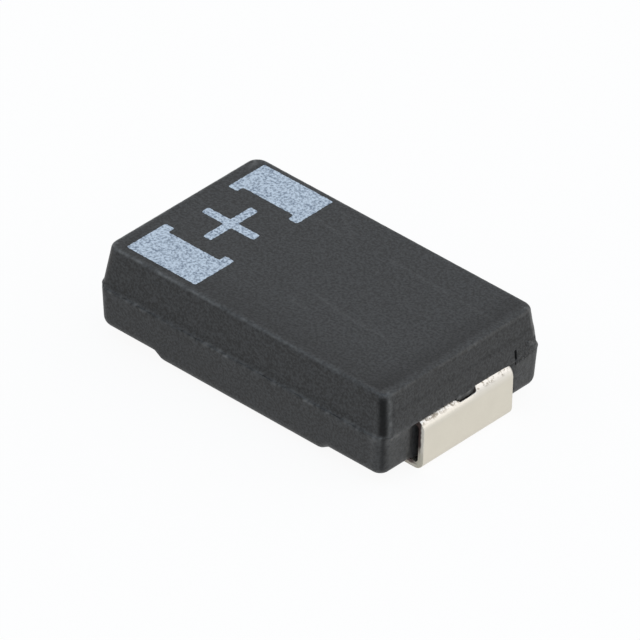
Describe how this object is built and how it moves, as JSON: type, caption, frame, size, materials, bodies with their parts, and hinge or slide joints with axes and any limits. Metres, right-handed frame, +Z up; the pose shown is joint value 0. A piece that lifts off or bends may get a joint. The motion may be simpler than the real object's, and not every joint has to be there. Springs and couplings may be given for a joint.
{
  "type": "tantalum capacitor",
  "caption": "Surface-mount moulded tantalum capacitor: drafted epoxy case, folded terminals under both ends, polarity mark, and the slug assembly inside.",
  "frame": {"origin": "middle of the footprint, in the plane of the circuit board", "axes": "+X along the case towards the unmarked cathode end, +Z up away from the board"},
  "size_m": [0.0074, 0.0044, 0.0019],
  "materials": {
    "epoxy": "moulded epoxy compound, fine matte texture",
    "laser_mark": "pale speckled marked layer",
    "tin_plate": "matte tin plating on lead frame",
    "tantalum_wire": "drawn wire",
    "tantalum_slug": "sintered porous metal",
    "ptfe": "waxy",
    "electrolyte": "dark conductive polymer",
    "carbon": "graphite paint",
    "silver_paint": "flake silver paint",
    "silver_glue": "cured silver-filled adhesive"
  },
  "bodies": {
    "root": {"moulded_case": "epoxy", "anode_terminal": "tin_plate", "cathode_terminal": "tin_plate", "riser_wire": "tantalum_wire", "insulating_washer": "ptfe", "anode_slug": "tantalum_slug", "electrolyte_coat": "electrolyte", "carbon_coat": "carbon", "silver_coat": "silver_paint", "silver_adhesive": "silver_glue", "polarity_mark": "laser_mark"}
  },
  "joints": []
}
